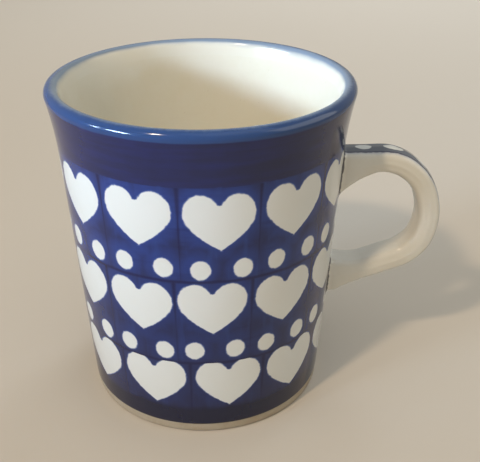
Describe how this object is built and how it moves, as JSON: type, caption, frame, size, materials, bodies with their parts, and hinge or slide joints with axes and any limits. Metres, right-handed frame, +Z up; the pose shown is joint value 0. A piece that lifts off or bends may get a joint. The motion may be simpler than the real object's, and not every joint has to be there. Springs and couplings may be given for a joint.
{
  "type": "stoneware mug",
  "caption": "Tapered glazed stoneware mug with a rounded blue lip, rows of white hearts and dots on cobalt, a cream inside and a cream strap handle.",
  "frame": {"origin": "on the table plane, under the middle of the whole mug's box; the cup's own axis stands at x = -13.75 mm", "axes": "+Z up, +X from the cup toward the handle, so +X is the longest extent and +Y the shortest"},
  "size_m": [0.1125, 0.085, 0.095],
  "materials": {
    "fired_clay": "bare fired stoneware, matte, cream-tan",
    "slip": "fired luting slip, matte",
    "decorated_glaze": "gloss clear glaze over cobalt and white stamped decoration",
    "liner_glaze": "gloss cream-white glaze",
    "base_glaze": "gloss cream-white glaze",
    "handle_glaze": "gloss cream glaze with a blue strip and white dots along the top"
  },
  "bodies": {
    "root": {"cup_body": "fired_clay", "handle": "fired_clay", "upper_slip_joint": "slip", "lower_slip_joint": "slip", "outer_glaze": "decorated_glaze", "liner_glaze": "liner_glaze", "base_glaze": "base_glaze", "handle_glaze": "handle_glaze"}
  },
  "joints": []
}
